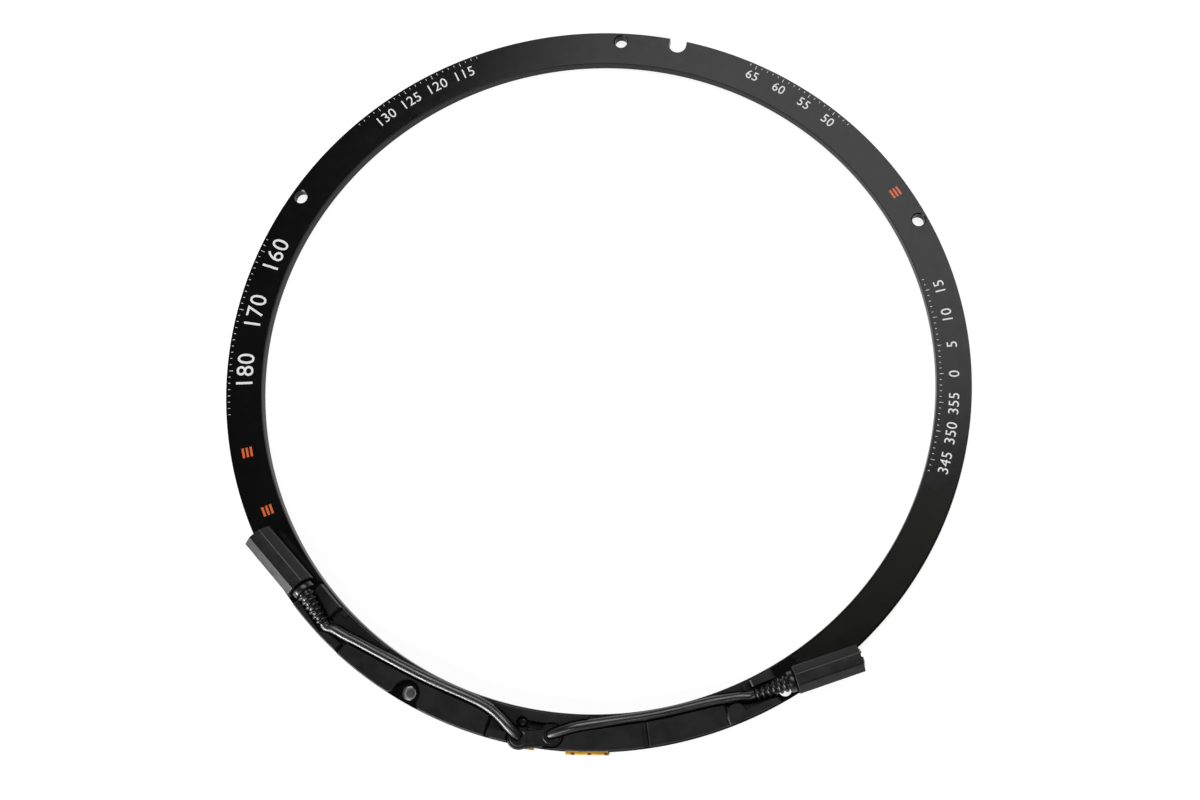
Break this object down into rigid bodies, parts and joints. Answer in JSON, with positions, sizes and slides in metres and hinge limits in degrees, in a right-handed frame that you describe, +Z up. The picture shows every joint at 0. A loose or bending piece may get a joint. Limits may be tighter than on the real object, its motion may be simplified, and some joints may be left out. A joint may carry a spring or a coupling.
{
  "type": "dew heater ring",
  "caption": "Flat annular heater ring for a telescope's front cell, with a moulded wiring cover on its rim and two short leads that end in line sockets.",
  "frame": {"origin": "centre of the ring on the surface that its underside, the heater film, rests on", "axes": "+Z up through the ring, away from that surface; +Y towards the notched side; -Y towards the wiring cover"},
  "size_m": [0.228, 0.2288, 0.0121],
  "materials": {
    "anodised": "black anodised, satin",
    "polyimide": "amber film, glossy",
    "cover_plastic": "black moulded plastic, satin",
    "grommet_rubber": "black rubber, satin",
    "black_steel": "black oxide",
    "bare_steel": "dull bare metal",
    "cable_jacket": "black, glossy",
    "boot_plastic": "black, semi-gloss",
    "jack_plastic": "black, satin",
    "nickel": "bright nickel plating",
    "contact_gold": "plated contact",
    "white_plastic": "off-white, satin",
    "board_laminate": "green solder mask",
    "sensor_epoxy": "dark epoxy",
    "red_wire": "red insulation",
    "black_wire": "black insulation",
    "label_film": "dark greenish film, satin"
  },
  "bodies": {
    "root": {"ring_plate": "anodised", "heater_film": "polyimide", "cover_left_arm": "cover_plastic", "cover_cap": "cover_plastic", "cover_right_arm": "cover_plastic", "twin_grommet": "grommet_rubber", "cap_screw": "black_steel", "hole_plug": "bare_steel", "left_cable": "cable_jacket", "right_cable": "cable_jacket", "left_strain_relief": "boot_plastic", "right_strain_relief": "boot_plastic", "left_jack_body": "jack_plastic", "left_jack_sleeve": "nickel", "left_jack_insulator": "white_plastic", "left_jack_pin": "contact_gold", "right_jack_body": "jack_plastic", "right_jack_bushing": "nickel", "right_jack_insulator": "white_plastic", "right_jack_contact": "contact_gold", "junction_board": "board_laminate", "thermistor": "sensor_epoxy", "left_wire_a": "red_wire", "left_wire_b": "black_wire", "right_wire_a": "red_wire", "right_wire_b": "black_wire", "blank_label": "label_film"}
  },
  "joints": []
}
